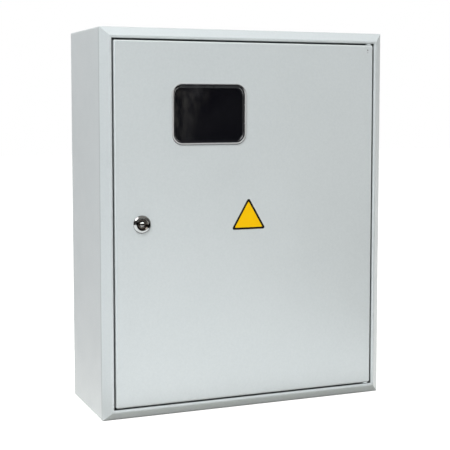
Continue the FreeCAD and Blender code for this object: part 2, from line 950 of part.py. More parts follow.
def make_lock_nut():
    nut = hex_nut(lock_nut_flats, lock_nut_thickness, lock_barrel_radius)
    at = Vector(lock_x, front_y + sheet + lock_washer_thickness, lock_z)
    return placed(nut, at, Vector(0, 1, 0))


def make_lock_cam():
    """A flat cam that hangs down when unlocked; a quarter turn takes it behind the left ledge."""
    at = Vector(lock_x, front_y + plug_end_depth, lock_z)
    back = Vector(0, 1, 0)
    tip = cam_width / 2
    hub = Part.makeCylinder(cam_hub_radius, cam_thickness, at, back)
    arm = box(
        lock_x - tip,
        lock_x + tip,
        at.y,
        at.y + cam_thickness,
        lock_z - cam_length + tip,
        lock_z,
    )
    nose = Part.makeCylinder(tip, cam_thickness, at - Vector(0, 0, cam_length - tip), back)
    cam = hub.fuse([arm, nose]).removeSplitter()
    half = cam_square / 2 + cam_square_play
    hole = box(
        lock_x - half,
        lock_x + half,
        at.y - cam_thickness,
        at.y + 2 * cam_thickness,
        lock_z - half,
        lock_z + half,
    )
    return cam.cut(hole)


def make_cam_fixing():
    at = Vector(lock_x, front_y + plug_end_depth + cam_thickness, lock_z)
    back = Vector(0, 1, 0)
    ring = washer(cam_washer_radius, cam_screw_radius, cam_washer_thickness)
    save(placed(ring, at, back), "cam_washer")
    length = cam_screw_length + cam_washer_thickness
    screw = headed_screw(cam_screw_radius, length, cam_screw_head_radius, cam_screw_head)
    save(placed(screw, at + back * cam_washer_thickness, back), "cam_screw")


# Hinges


def mirrored_down(shape):
    return shape.mirror(Vector(0, 0, 0), Vector(0, 0, 1))


def clip_base():
    return door_height / 2 - sheet - clip_thickness - clip_play


def make_hinge_pin():
    """A rod up through the door and the case, with a groove for its clip and one to draw it out by."""
    top = half_height - door_inset + pin_reach
    pin = Part.makeCylinder(pin_radius, pin_length, Vector(hinge_x, hinge_y, top - pin_length))
    groove = washer(2 * pin_radius, pin_radius - pin_groove_depth, clip_thickness)
    grooves = []
    for z in (clip_base(), top - pin_length + pin_foot_groove):
        grooves.append(groove.translated(Vector(hinge_x, hinge_y, z)))
    return pin.cut(grooves)


def make_hinge_clip():
    """Retaining clip in the pin's groove, under the door's flange."""
    ring = washer(clip_radius, pin_radius - pin_groove_depth, clip_thickness)
    half_mouth = pin_radius / 2
    mouth = box(-half_mouth, half_mouth, 0, 2 * clip_radius, -clip_thickness, 2 * clip_thickness)
    return ring.cut(mouth).translated(Vector(hinge_x, hinge_y, clip_base()))


def bracket_top():
    return door_height / 2 - sheet - bracket_drop


def make_hinge_bracket():
    """Folded bracket on the door's right flange; its leg guides the pin."""
    wall = door_width / 2 - sheet
    top = bracket_top()
    y0 = hinge_y - bracket_leg_depth / 2 + bracket_setback
    section = folded_section(
        [(bracket_leg_reach, 0), (0, 0), (0, -bracket_foot_height)],
        bracket_sheet,
        bend_inside,
    )
    turn = FreeCAD.Matrix(-1, 0, 0, wall, 0, 0, 1, y0, 0, 1, 0, top, 0, 0, 0, 1)
    bracket = section.extrude(Vector(0, 0, bracket_foot_depth)).transformGeometry(turn)
    spare = box(
        wall - 2 * bracket_leg_reach,
        wall - bracket_sheet - bend_inside,
        y0 + bracket_leg_depth,
        y0 + 2 * bracket_foot_depth,
        top - 2 * bracket_sheet,
        top + bracket_sheet,
    )
    in_bend = box(
        wall - bracket_sheet - bend_inside,
        wall + bracket_sheet,
        front_y,
        front_y + door_bend_radius,
        top - 2 * bracket_foot_height,
        top + bracket_sheet,
    )
    hole_base = Vector(hinge_x, hinge_y, top - 2 * bracket_sheet)
    hole = Part.makeCylinder(pin_radius + pin_play, 3 * bracket_sheet, hole_base)
    return bracket.cut([spare, in_bend, hole])


def make_hinge_spacer():
    """Round spacer that fills the gap between the door's edge and the case."""
    ring = washer(spacer_radius, pin_radius + pin_play, spacer_thickness)
    return ring.translated(Vector(hinge_x, hinge_y, door_height / 2))


def make_hinges():
    pieces = {
        "hinge_pin": make_hinge_pin(),
        "hinge_clip": make_hinge_clip(),
        "hinge_bracket": make_hinge_bracket(),
        "hinge_spacer": make_hinge_spacer(),
    }
    for name, shape in pieces.items():
        save(shape, name + "_top")
        save(mirrored_down(shape), name + "_bottom")


# Sticker


def make_sticker():
    """A blank triangular sticker with round corners, near the middle of the door."""
    base_z = half_height - sticker_base_from_top
    apex_z = base_z + sticker_side * math.sqrt(3) / 2
    half = sticker_side / 2
    corners = [
        Vector(sticker_x - half, 0, base_z),
        Vector(sticker_x + half, 0, base_z),
        Vector(sticker_x, 0, apex_z),
    ]
    middle = (corners[0] + corners[1]) * 0.5
    run = [middle] + corners[1:] + [corners[0], middle]
    edges = rounded_run(run, [sticker_corner] * 3)
    face = Part.Face(Part.Wire(Part.__sortEdges__(edges)))
    outside = face.translated(Vector(0, front_y - sticker_thickness, 0))
    return outside.extrude(Vector(0, sticker_thickness, 0))


save(make_case_shell(), "case_shell")
save(make_back_panel(), "back_panel")
save(make_mounting_plate(), "mounting_plate")
make_plate_fixing()
save(make_rail(), "mounting_rail")
make_rail_screws()
make_terminal_bar()
case_earth_place = Vector(half_width - sheet, front_y + case_earth_depth, case_earth_z)
make_earth_stud("case", case_earth_place, Vector(-1, 0, 0))
door_earth_place = Vector(door_earth_x, front_y + sheet, door_earth_z)
make_earth_stud("door", door_earth_place, Vector(0, 1, 0))
save(make_door_panel(), "door_panel")
save(make_door_seal(), "door_seal")
save(make_window_frame(), "window_frame")
save(make_window_pane(), "window_pane")
save(make_lock_housing(), "lock_housing")
save(make_lock_plug(), "lock_plug")
save(make_lock_washer(), "lock_washer")
save(make_lock_nut(), "lock_nut")
save(make_lock_cam(), "lock_cam")
make_cam_fixing()
make_hinges()
save(make_sticker(), "triangle_sticker")
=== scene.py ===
import json
import math

import bpy
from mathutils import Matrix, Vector

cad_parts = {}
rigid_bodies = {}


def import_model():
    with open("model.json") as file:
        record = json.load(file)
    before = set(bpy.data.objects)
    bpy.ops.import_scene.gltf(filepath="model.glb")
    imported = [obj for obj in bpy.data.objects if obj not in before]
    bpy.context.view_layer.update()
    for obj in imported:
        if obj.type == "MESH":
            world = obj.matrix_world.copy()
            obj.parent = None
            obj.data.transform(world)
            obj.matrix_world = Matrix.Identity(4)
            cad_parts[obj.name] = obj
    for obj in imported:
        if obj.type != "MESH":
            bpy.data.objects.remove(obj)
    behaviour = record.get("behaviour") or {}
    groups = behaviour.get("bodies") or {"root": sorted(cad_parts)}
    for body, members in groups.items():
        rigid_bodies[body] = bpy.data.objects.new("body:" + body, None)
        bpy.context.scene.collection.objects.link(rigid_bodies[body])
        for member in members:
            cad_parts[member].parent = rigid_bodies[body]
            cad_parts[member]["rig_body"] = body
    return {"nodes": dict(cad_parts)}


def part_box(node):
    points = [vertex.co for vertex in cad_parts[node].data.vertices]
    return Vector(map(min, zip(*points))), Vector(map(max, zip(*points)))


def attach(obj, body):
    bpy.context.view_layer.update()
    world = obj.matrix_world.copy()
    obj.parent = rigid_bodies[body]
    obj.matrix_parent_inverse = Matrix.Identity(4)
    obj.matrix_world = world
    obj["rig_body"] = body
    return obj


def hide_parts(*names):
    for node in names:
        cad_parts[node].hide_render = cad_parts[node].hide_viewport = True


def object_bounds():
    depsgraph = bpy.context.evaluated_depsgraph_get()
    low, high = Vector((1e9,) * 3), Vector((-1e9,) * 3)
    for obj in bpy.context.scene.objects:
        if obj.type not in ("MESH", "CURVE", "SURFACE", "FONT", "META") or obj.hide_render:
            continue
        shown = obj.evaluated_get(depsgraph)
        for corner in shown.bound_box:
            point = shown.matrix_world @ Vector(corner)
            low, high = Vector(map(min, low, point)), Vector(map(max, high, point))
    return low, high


# Looks of the electric meter box, in metres. X is right, Y goes from the door to the wall, Z is up.

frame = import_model()
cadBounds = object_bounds()
scene = bpy.context.scene
print("frame loaded:", len(frame["nodes"]), "nodes")

doorLow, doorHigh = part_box("door_panel")
lockLow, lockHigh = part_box("lock_housing")
lockMiddle = (lockLow + lockHigh) / 2
lockMiddle.y = doorLow.y  # on the lock's axis, level with the door's face


# Small helpers

def deselectAll():
    if bpy.context.object and bpy.context.object.mode != "OBJECT":
        bpy.ops.object.mode_set(mode="OBJECT")
    bpy.ops.object.select_all(action="DESELECT")


def makeActive(piece):
    deselectAll()
    piece.select_set(True)
    bpy.context.view_layer.objects.active = piece


def applyPlace(piece):  # the finished object sits at the origin, unturned and unscaled
    makeActive(piece)
    bpy.ops.object.transform_apply(location=True, rotation=True, scale=True)


def applyModifiers(piece):
    makeActive(piece)
    for modifier in list(piece.modifiers):
        bpy.ops.object.modifier_apply(modifier=modifier.name)


# Material helpers

def newMaterial(name):
    material = bpy.data.materials.new(name)
    material.use_nodes = True
    tree = material.node_tree
    return material, tree, tree.nodes["Principled BSDF"]


def objectPlace(tree, centre=(0, 0, 0), scale=(1, 1, 1)):  # the surface's own place, moved to a centre
    coords = tree.nodes.new("ShaderNodeTexCoord")
    mapping = tree.nodes.new("ShaderNodeMapping")
    mapping.vector_type = "TEXTURE"
    mapping.inputs["Location"].default_value = centre
    mapping.inputs["Scale"].default_value = scale
    tree.links.new(coords.outputs["Object"], mapping.inputs["Vector"])
    return mapping.outputs["Vector"]


def addParts(tree, vector):  # its X, Y and Z
    parts = tree.nodes.new("ShaderNodeSeparateXYZ")
    tree.links.new(vector, parts.inputs[0])
    return parts.outputs


def addNoise(tree, place, scale, detail=2.0, roughness=0.5):
    noise = tree.nodes.new("ShaderNodeTexNoise")
    noise.inputs["Scale"].default_value = scale
    noise.inputs["Detail"].default_value = detail
    noise.inputs["Roughness"].default_value = roughness
    tree.links.new(place, noise.inputs["Vector"])
    return noise.outputs["Fac"]


def addRamp(tree, factor, *stops):  # stops are (position, colour or grey)
    ramp = tree.nodes.new("ShaderNodeValToRGB")
    elements = ramp.color_ramp.elements
    while len(elements) < len(stops):
        elements.new(0.5)
    for element, (position, colour) in zip(elements, stops):
        element.position = position
        element.color = colour if hasattr(colour, "__len__") else (colour, colour, colour, 1)
    tree.links.new(factor, ramp.inputs["Fac"])
    return ramp.outputs["Color"]


def addMath(tree, operation, first, second=None, third=None):
    node = tree.nodes.new("ShaderNodeMath")
    node.operation = operation
    for socket, value in zip(node.inputs, (first, second, third)):
        if value is None:
            continue
        if isinstance(value, (int, float)):
            socket.default_value = value
        else:
            tree.links.new(value, socket)
    return node.outputs["Value"]


def addVectorMath(tree, operation, first, second=None):
    node = tree.nodes.new("ShaderNodeVectorMath")
    node.operation = operation
    tree.links.new(first, node.inputs[0])
    if second is not None:
        node.inputs[1].default_value = second
    isNumber = operation in ("LENGTH", "DISTANCE", "DOT_PRODUCT")
    return node.outputs["Value" if isNumber else "Vector"]


def addMix(tree, factor, first, second):
    mix = tree.nodes.new("ShaderNodeMix")
    mix.data_type = "RGBA"
    tree.links.new(factor, mix.inputs["Factor"])
    for socket, value in ((mix.inputs["A"], first), (mix.inputs["B"], second)):
        if isinstance(value, tuple):
            socket.default_value = value
        else:
            tree.links.new(value, socket)
    return mix.outputs["Result"]


def addBump(tree, shader, height, depth, under=None):
    bump = tree.nodes.new("ShaderNodeBump")
    bump.inputs["Distance"].default_value = depth
    bump.inputs["Strength"].default_value = 1.0
    tree.links.new(height, bump.inputs["Height"])
    if under is not None:
        tree.links.new(under, bump.inputs["Normal"])
    tree.links.new(bump.outputs["Normal"], shader.inputs["Normal"])
    return bump.outputs["Normal"]


def addGloss(tree, shader, factor, gloss, span=(0.3, 0.7)):  # roughness from the first to the second
    roughness = addRamp(tree, factor, (span[0], gloss[0]), (span[1], gloss[1]))
    tree.links.new(roughness, shader.inputs["Roughness"])


# Finishes

powderCoat = {
    "tint": (0.584, 0.624, 0.631, 1),
    "paleTint": (0.632, 0.670, 0.677, 1),
    "toneScale": 2.6,
    "speckScale": 430.0,
    "speckShare": 0.7,
    "foldShadeTint": (0.40, 0.43, 0.43, 1),
    "foldPlace": -0.1395,  # where the walls are bent into the bevel, a painted shade darkens the fold
    "foldSpan": 0.010,
    "foldShadeRamp": ((0.08, 0.55), (0.22, 0.0)),
    "bendHighlightTint": (0.70, 0.74, 0.74, 1),  # painted highlight along the door's bent edges
    "channelShadeTint": (0.16, 0.17, 0.17, 1),  # painted shade in the channel around the door
    "channelDepth": 0.0026,  # from about this depth on
    "channelEnd": 0.020,  # and no deeper
    "edgeSpan": 0.010,  # the next two run across this width, their middle on the door's outline
    "bendHighlightRamp": ((0.34, 0.0), (0.42, 0.8), (0.52, 0.8), (0.56, 0.0)),
    "channelShadeRamp": ((0.58, 0.0), (0.64, 1.0), (0.76, 1.0), (0.80, 0.0)),
    "darkMarkTint": (0.16, 0.16, 0.16, 1),
    "darkMarks": ((0.1753, 0.2268, 0.95), (0.1753, 0.2237, 0.35)),  # two small dark marks beside the top hinge
    "darkMarkSpan": 0.004,
    "wearScale": 38.0,
    "gloss": (0.30, 0.40),
    "peelScale": 520.0,  # orange peel, about 2 mm across
    "peelDepth": 0.00005,
    "grainScale": 2600.0,
    "grainDepth": 0.00001,
    "specular": 0.95,
}


def addDoorEdgeHighlightAndShade(tree, parts, colour):  # painted highlight on the door's bent edges and painted shade in the channel, by the distance outwards from the closed door's outline
    values = powderCoat
    middle, half = (doorLow + doorHigh) / 2, (doorHigh - doorLow) / 2
    across = addMath(tree, "ABSOLUTE", addMath(tree, "SUBTRACT", parts["X"], middle.x))
    up = addMath(tree, "ABSOLUTE", addMath(tree, "SUBTRACT", parts["Z"], middle.z))
    across = addMath(tree, "SUBTRACT", across, half.x)
    up = addMath(tree, "SUBTRACT", up, half.z)
    outwards = addMath(tree, "MAXIMUM", across, up)
    share = addMath(tree, "MULTIPLY_ADD", outwards, 1 / values["edgeSpan"], 0.5)
    depth = addMath(tree, "SUBTRACT", parts["Y"], doorLow.y)
    bendHighlight = addRamp(tree, share, *values["bendHighlightRamp"])
    bendHighlight = addMath(tree, "MULTIPLY", bendHighlight, addMath(tree, "LESS_THAN", depth, values["channelDepth"]))
    inwards = addMath(tree, "DIVIDE", depth, 2 * values["channelDepth"])
    channelShade = addRamp(tree, share, *values["channelShadeRamp"])
    channelShade = addMath(tree, "MULTIPLY", channelShade, addRamp(tree, inwards, (0.3, 0), (0.8, 1)))
    channelShade = addMath(tree, "MULTIPLY", channelShade, addMath(tree, "LESS_THAN", depth, values["channelEnd"]))
    colour = addMix(tree, bendHighlight, colour, values["bendHighlightTint"])
    return addMix(tree, channelShade, colour, values["channelShadeTint"])


def makePowderCoat():
    values = powderCoat
    material, tree, shader = newMaterial("powderCoat")
    place = objectPlace(tree)
    parts = addParts(tree, place)
    speck = addMath(tree, "SUBTRACT", addNoise(tree, place, values["speckScale"], 2), 0.5)
    tone = addNoise(tree, place, values["toneScale"], 3)
    tone = addMath(tree, "MULTIPLY_ADD", speck, values["speckShare"], tone)
    colour = addRamp(tree, tone, (0.25, values["tint"]), (0.75, values["paleTint"]))
    # painted shade along the fold between wall and bevel
    fromFold = addMath(tree, "ABSOLUTE", addMath(tree, "SUBTRACT", parts["Y"], values["foldPlace"]))
    foldShade = addRamp(tree, addMath(tree, "DIVIDE", fromFold, values["foldSpan"]), *values["foldShadeRamp"])
    colour = addMix(tree, foldShade, colour, values["foldShadeTint"])
    # painted highlight on the door's bent edges and painted shade in the channel around the door
    colour = addDoorEdgeHighlightAndShade(tree, parts, colour)
    for markX, markZ, strength in values["darkMarks"]:
        distance = addVectorMath(tree, "DISTANCE", place, (markX, doorLow.y, markZ))
        near = addMath(tree, "DIVIDE", distance, values["darkMarkSpan"])
        darkMark = addRamp(tree, near, (0.15, strength), (0.35, 0.0))
        colour = addMix(tree, darkMark, colour, values["darkMarkTint"])
    tree.links.new(colour, shader.inputs["Base Color"])
    wear = addNoise(tree, place, values["wearScale"], 4, 0.6)
    addGloss(tree, shader, wear, values["gloss"])
    grain = addNoise(tree, place, values["grainScale"], 1)
    under = addBump(tree, shader, grain, values["grainDepth"])
    peel = addNoise(tree, place, values["peelScale"], 1)
    addBump(tree, shader, peel, values["peelDepth"], under)
    shader.inputs["Specular IOR Level"].default_value = values["specular"]
    return material


zincPlate = {
    "tint": (0.50, 0.52, 0.53, 1),
    "paleTint": (0.66, 0.68, 0.69, 1),
    "gloss": (0.28, 0.46),
    "mottle": 90.0,
    "scratches": 0.000006,
}

brassBar = {
    "tint": (0.70, 0.52, 0.22, 1),
    "paleTint": (0.80, 0.62, 0.30, 1),
    "gloss": (0.24, 0.40),
    "mottle": 110.0,
    "scratches": 0.000005,
}

springSteel = {
    "tint": (0.30, 0.30, 0.31, 1),
    "paleTint": (0.42, 0.42, 0.43, 1),
    "gloss": (0.25, 0.38),
    "mottle": 260.0,
    "scratches": 0,
}

metalStreaks = {
    "scale": 420.0,
    "stretch": (1, 1, 0.04),
}


def makeMetal(name, values):  # mottled tone and fine streaks
    material, tree, shader = newMaterial(name)
    tone = addNoise(tree, objectPlace(tree), values["mottle"], 5, 0.6)
    colour = addRamp(tree, tone, (0.32, values["tint"]), (0.7, values["paleTint"]))
    tree.links.new(colour, shader.inputs["Base Color"])
    streakPlace = objectPlace(tree, scale=metalStreaks["stretch"])
    streaks = addNoise(tree, streakPlace, metalStreaks["scale"], 3)
    addGloss(tree, shader, streaks, values["gloss"], (0.3, 0.75))
    shader.inputs["Metallic"].default_value = 1.0
    if values["scratches"]:
        addBump(tree, shader, streaks, values["scratches"])
    return material


housingChrome = {
    "radius": 0.0077,
    "inside": ((0.060, 0.050, 0.042, 1), (0.085, 0.072, 0.060, 1)),  # painted shade down the mouth
    "outside": ((0.28, 0.273, 0.262, 1), (0.345, 0.337, 0.322, 1)),
    "mottle": 220.0,
    "gloss": (0.07, 0.14),
}

plugMetal = {
    "radius": 0.0031,
    "slotFrom": -0.0001,  # painted shade in the key slot, from here on inwards
    "inside": ((0.66, 0.64, 0.61, 1), (0.80, 0.78, 0.75, 1)),  # painted highlight on the plug's face
    # painted shade round the plug's face
    "outside": ((0.070, 0.058, 0.048, 1), (0.10, 0.085, 0.070, 1)),
    "mottle": 220.0,
    "gloss": (0.16, 0.28),
}


def makeRinged(name, values):  # metal with two tones, parted at a radius from the lock's axis: painted shade in the chrome's mouth and round the plug, a painted highlight on the plug's face
    material, tree, shader = newMaterial(name)
    place = objectPlace(tree, centre=lockMiddle)
    parts = addParts(tree, place)
    tone = addNoise(tree, place, values["mottle"], 5, 0.6)
    inside = addRamp(tree, tone, (0.32, values["inside"][0]), (0.7, values["inside"][1]))
    outside = addRamp(tree, tone, (0.32, values["outside"][0]), (0.7, values["outside"][1]))
    acrossSquared = addMath(tree, "MULTIPLY", parts["X"], parts["X"])
    radiusSquared = addMath(tree, "MULTIPLY_ADD", parts["Z"], parts["Z"], acrossSquared)
    isOutside = addMath(tree, "GREATER_THAN", radiusSquared, values["radius"] ** 2)
    if "slotFrom" in values:
        isSlot = addMath(tree, "GREATER_THAN", parts["Y"], values["slotFrom"])
        isOutside = addMath(tree, "MAXIMUM", isOutside, isSlot)
    tree.links.new(addMix(tree, isOutside, inside, outside), shader.inputs["Base Color"])
    addGloss(tree, shader, tone, values["gloss"], (0.3, 0.75))
    shader.inputs["Metallic"].default_value = 1.0
    return material


bluePlastic = {
    "tint": (0.03, 0.10, 0.34, 1),
    "paleTint": (0.04, 0.13, 0.40, 1),
    "gloss": (0.35, 0.48),
}

plasticGrain = {
    "mottle": 60.0,
    "scale": 1500.0,
    "depth": 0.000006,
}


def addPlasticTone(tree, place, values):
    tone = addNoise(tree, place, plasticGrain["mottle"], 3)
    return addRamp(tree, tone, (0.3, values["tint"]), (0.7, values["paleTint"]))


def addPlasticGrain(tree, shader, place, gloss):
    fine = addNoise(tree, place, plasticGrain["scale"], 2)
    addGloss(tree, shader, fine, gloss)
    addBump(tree, shader, fine, plasticGrain["depth"])


def makeBluePlastic():
    material, tree, shader = newMaterial("bluePlastic")
    place = objectPlace(tree)
    tree.links.new(addPlasticTone(tree, place, bluePlastic), shader.inputs["Base Color"])
    addPlasticGrain(tree, shader, place, bluePlastic["gloss"])
    return material


sealFoam = {
    "tint": (0.012, 0.012, 0.013, 1),
    "paleTint": (0.045, 0.045, 0.048, 1),
    "gloss": (0.85, 1.0),
    "cellScale": 900.0,
    "cellDepth": 0.00025,
}


def makeFoam():
    material, tree, shader = newMaterial("sealFoam")
    cells = addNoise(tree, objectPlace(tree), sealFoam["cellScale"], 3, 0.7)
    colour = addRamp(tree, cells, (0.3, sealFoam["tint"]), (0.75, sealFoam["paleTint"]))
    tree.links.new(colour, shader.inputs["Base Color"])
    addGloss(tree, shader, cells, sealFoam["gloss"], (0.2, 0.8))
    addBump(tree, shader, cells, sealFoam["cellDepth"])
    return material


def addOutline(tree, node, corner):  # distance inwards from a node's outline, and height from -1 to 1
    low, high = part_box(node)
    middle, half = (low + high) / 2, (high - low) / 2
    centred = objectPlace(tree, centre=(middle.x, 0, middle.z))
    flat = addVectorMath(tree, "MULTIPLY", centred, (1, 0, 1))
    straight = (half.x - corner, 0, half.z - corner)
    beyond = addVectorMath(tree, "SUBTRACT", addVectorMath(tree, "ABSOLUTE", flat), straight)
    reach = addVectorMath(tree, "LENGTH", addVectorMath(tree, "MAXIMUM", beyond, (0, 0, 0)))
    inwards = addMath(tree, "SUBTRACT", corner, reach)
    height = addMath(tree, "DIVIDE", addParts(tree, flat)["Z"], half.z)
    return inwards, height


windowFrame = {
    "tint": (0.46, 0.46, 0.46, 1),
    "paleTint": (0.52, 0.52, 0.52, 1),
    "topShadeTint": (0.016, 0.016, 0.018, 1),  # painted shade along the moulding's top
    "topShadeInset": 0.0010,
    "footShadowTint": (0.07, 0.07, 0.07, 1),  # painted shadow along the foot
    "footShadowWidth": 0.0008,
    "endRamp": ((0.72, 0.0), (0.86, 1.0)),  # how far up and down these two begin
    "corner": 0.0145,
    "gloss": (0.14, 0.22),
}


def makeFrameMoulding():  # clear moulding, toned by the distance from its outline, with painted shade along its top and a painted shadow along its foot
    values = windowFrame
    material, tree, shader = newMaterial("frameMoulding")
    place = objectPlace(tree)
    colour = addPlasticTone(tree, place, values)
    inwards, height = addOutline(tree, "window_frame", values["corner"])
    upperShade = addRamp(tree, height, *values["endRamp"])
    upperShade = addMath(tree, "MULTIPLY", upperShade, addMath(tree, "GREATER_THAN", inwards, values["topShadeInset"]))
    footShadow = addRamp(tree, addMath(tree, "MULTIPLY", height, -1.0), *values["endRamp"])
    footShadow = addMath(tree, "MULTIPLY", footShadow, addMath(tree, "LESS_THAN", inwards, values["footShadowWidth"]))
    colour = addMix(tree, upperShade, colour, values["topShadeTint"])
    colour = addMix(tree, footShadow, colour, values["footShadowTint"])
    tree.links.new(colour, shader.inputs["Base Color"])
    addPlasticGrain(tree, shader, place, values["gloss"])
    return material


smokedPane = {
    "tint": (0.004, 0.004, 0.006, 1),
    "paleTint": (0.007, 0.007, 0.009, 1),
    "toneScale": 25.0,
    "corner": 0.01185,
    "edgeHighlightTint": (0.24, 0.24, 0.24, 1),  # painted highlight, a fine line round the dish, palest at its corners
    "leftEdgeHighlightTint": (0.62, 0.62, 0.62, 1),
    "edgeFrom": 0.0015,
    "edgeTo": 0.0020,
    "cornerRamp": ((0.60, 0.35), (0.72, 1.0), (0.90, 1.0), (0.95, 0.0)),
    "paneReflectionTint": (0.029, 0.028, 0.027, 1),  # painted reflection, thickest at the upper left
    "reflectionScale": 130.0,
    "reflectionStretch": (1, 1, 1.8),
    "upperLeftLean": -0.18,
    "reflectionRamp": ((0.08, 1.0), (0.46, 0.0)),
    "wipeScale": 120.0,
    "wipeStretch": (1, 1, 0.3),
    "gloss": (0.035, 0.055),
    "specular": 0.13,
    "cover": 0.93,
}


def makeSmokedPane():
    values = smokedPane
    material, tree, shader = newMaterial("smokedPane")
    place = objectPlace(tree)
    tone = addNoise(tree, place, values["toneScale"], 2)
    colour = addRamp(tree, tone, (0.3, values["tint"]), (0.7, values["paleTint"]))
    inwards, height = addOutline(tree, "window_pane", values["corner"])
    low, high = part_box("window_pane")
    fromLeft = addMath(tree, "SUBTRACT", addParts(tree, place)["X"], low.x)
    fromLeft = addMath(tree, "DIVIDE", fromLeft, high.x - low.x)
    fromCorner = addMath(tree, "MULTIPLY_ADD", height, values["upperLeftLean"], fromLeft)
    # painted reflection, paler patches thickest at the upper left
    paneReflection = addNoise(tree, objectPlace(tree, scale=values["reflectionStretch"]), values["reflectionScale"], 4, 0.65)
    paneReflection = addRamp(tree, paneReflection, (0.40, 0.0), (0.66, 1.0))
    paneReflection = addMath(tree, "MULTIPLY", paneReflection, addRamp(tree, fromCorner, *values["reflectionRamp"]))
    colour = addMix(tree, paneReflection, colour, values["paneReflectionTint"])
    # painted highlight along the dish's edge
    highlightLine = addMath(tree, "GREATER_THAN", inwards, values["edgeFrom"])
    highlightLine = addMath(tree, "MULTIPLY", highlightLine, addMath(tree, "LESS_THAN", inwards, values["edgeTo"]))
    atCorner = addRamp(tree, addMath(tree, "ABSOLUTE", height), *values["cornerRamp"])
    highlightLine = addMath(tree, "MULTIPLY", highlightLine, atCorner)
    edgeHighlight = addRamp(tree, fromCorner, (0.03, values["leftEdgeHighlightTint"]), (0.12, values["edgeHighlightTint"]))
    tree.links.new(addMix(tree, highlightLine, colour, edgeHighlight), shader.inputs["Base Color"])
    wipe = addNoise(tree, objectPlace(tree, scale=values["wipeStretch"]), values["wipeScale"], 4)
    addGloss(tree, shader, wipe, values["gloss"], (0.3, 0.75))
    shader.inputs["Specular IOR Level"].default_value = values["specular"]
    shader.inputs["Alpha"].default_value = values["cover"]
    return material


warningFilm = {
    "side": 0.050,
    "border": 0.0030,
    "corner": 0.0024,
    "margin": 0.00035,  # pale film left outside the black
    "yellow": (1.0, 0.60, 0.0, 1),
    "deepYellow": (1.0, 0.56, 0.0, 1),
    "black": (0.006, 0.005, 0.005, 1),
    "pale": (0.62, 0.62, 0.55, 1),
    "mottle": 140.0,
    "gloss": (0.50, 0.62),
    "specular": 0.06,
    "grainScale": 700.0,
    "grainDepth": 0.000008,
}


def makeWarningFilm():  # a yellow triangle in a black border, from the distance to its three sides
    values = warningFilm
    material, tree, shader = newMaterial("stickerFilm")
    low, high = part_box("triangle_sticker")
    inRadius = values["side"] / (2 * math.sqrt(3))
    place = objectPlace(tree, centre=((low.x + high.x) / 2, 0, low.z + inRadius))
    distances = []
    for angle in (-90, 30, 150):
        outward = (math.cos(math.radians(angle)), 0, math.sin(math.radians(angle)))
        reach = addVectorMath(tree, "DOT_PRODUCT", place, outward)
        distances.append(addMath(tree, "SUBTRACT", inRadius, reach))
    nearest = addMath(tree, "SMOOTH_MIN", distances[0], distances[1], values["corner"])
    nearest = addMath(tree, "SMOOTH_MIN", nearest, distances[2], values["corner"])
    tone = addNoise(tree, place, values["mottle"], 3)
    yellow = addRamp(tree, tone, (0.3, values["deepYellow"]), (0.7, values["yellow"]))
    insideBorder = addMath(tree, "GREATER_THAN", nearest, values["border"])
    insideMargin = addMath(tree, "GREATER_THAN", nearest, values["margin"])
    inked = addMix(tree, insideBorder, values["black"], yellow)
    tree.links.new(addMix(tree, insideMargin, values["pale"], inked), shader.inputs["Base Color"])
    addGloss(tree, shader, tone, values["gloss"])
    shader.inputs["Specular IOR Level"].default_value = values["specular"]
    addBump(tree, shader, addNoise(tree, place, values["grainScale"], 1), values["grainDepth"])
    return material


studThread = {
    "tint": (0.48, 0.50, 0.51, 1),
    "paleTint": (0.62, 0.64, 0.65, 1),
    "mottle": 180.0,
    "gloss": (0.25, 0.40),
    "pitch": 0.001,
    "depth": 0.0004,
}


def makeThread(name, axis):  # plated metal, its turns along one axis
    values = studThread
    material, tree, shader = newMaterial(name)
    place = objectPlace(tree)
    tone = addNoise(tree, place, values["mottle"], 4)
    colour = addRamp(tree, tone, (0.3, values["tint"]), (0.7, values["paleTint"]))
    tree.links.new(colour, shader.inputs["Base Color"])
    turns = tree.nodes.new("ShaderNodeTexWave")
    turns.bands_direction = axis
    turns.wave_profile = "TRI"
    turns.inputs["Scale"].default_value = math.pi / (10 * values["pitch"])  # one band each pitch
    tree.links.new(place, turns.inputs["Vector"])
    addBump(tree, shader, turns.outputs["Fac"], values["depth"])
    shader.inputs["Metallic"].default_value = 1.0
    addGloss(tree, shader, tone, values["gloss"])
    return material


finishes = {
    "powderCoat": makePowderCoat(),
    "zinc": makeMetal("zincPlate", zincPlate),
    "chrome": makeRinged("chromePlate", housingChrome),
    "lockMetal": makeRinged("lockMetal", plugMetal),
    "brass": makeMetal("brassBar", brassBar),
    "springSteel": makeMetal("springSteel", springSteel),
    "frame": makeFrameMoulding(),
    "blue": makeBluePlastic(),
    "foam": makeFoam(),
    "pane": makeSmokedPane(),
    "film": makeWarningFilm(),
    "thread": makeThread("studThread", "Y"),
    "wallThread": makeThread("wallStudThread", "X"),
}
print("finishes made:", len(finishes))


# Pieces that keep the CAD node's own shape

nodeFinishes = {
    "case_shell": "powderCoat",
    "back_panel": "powderCoat",
    "door_panel": "powderCoat",
    "hinge_bracket_top": "powderCoat",
    "hinge_bracket_bottom": "powderCoat",
    "door_seal": "foam",
    "window_pane": "pane",
    "triangle_sticker": "film",
    "mounting_plate": "zinc",
    "mounting_rail": "zinc",
}


def paint(piece, finish):
    for index in range(max(1, len(piece.data.materials))):
        if index < len(piece.data.materials):
            piece.data.materials[index] = finishes[finish]
        else:
            piece.data.materials.append(finishes[finish])


for node, finish in nodeFinishes.items():
    paint(frame["nodes"][node], finish)
print("CAD nodes painted:", len(nodeFinishes))


# Pieces finished from a copy of the CAD node, with its edges broken as on the real part

